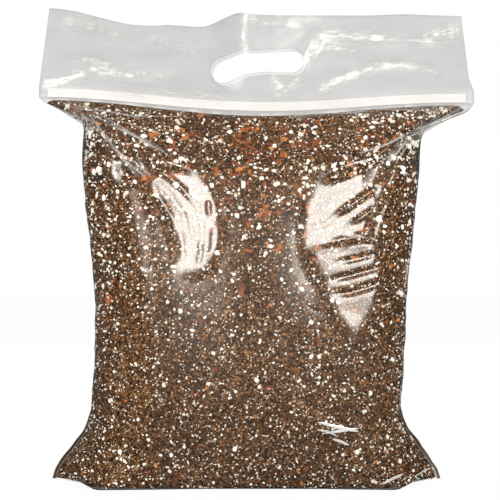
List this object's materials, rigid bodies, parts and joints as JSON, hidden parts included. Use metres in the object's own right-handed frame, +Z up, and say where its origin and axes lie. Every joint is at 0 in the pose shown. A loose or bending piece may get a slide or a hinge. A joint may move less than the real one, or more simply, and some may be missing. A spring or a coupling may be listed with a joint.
{
  "type": "compost bag",
  "caption": "Clear film bag of potting compost that stands on its base, with a press-to-close zip under a flat header with a punched hand hole.",
  "frame": {"origin": "middle of the base on the surface that the bag stands on, under the middle of the header's width", "axes": "+Z up, +X to the right as seen from the front, and the front panel faces -Y"},
  "size_m": [0.348, 0.126, 0.3863],
  "materials": {
    "clear_film": "clear, glossy, slightly milky where it lies double",
    "compost": "matte dark brown grains with white perlite and orange bark",
    "zip_strip": "satin white"
  },
  "bodies": {
    "root": {"film_bag": "clear_film", "compost_fill": "compost", "zip_front_track": "zip_strip", "zip_back_track": "zip_strip"}
  },
  "joints": []
}
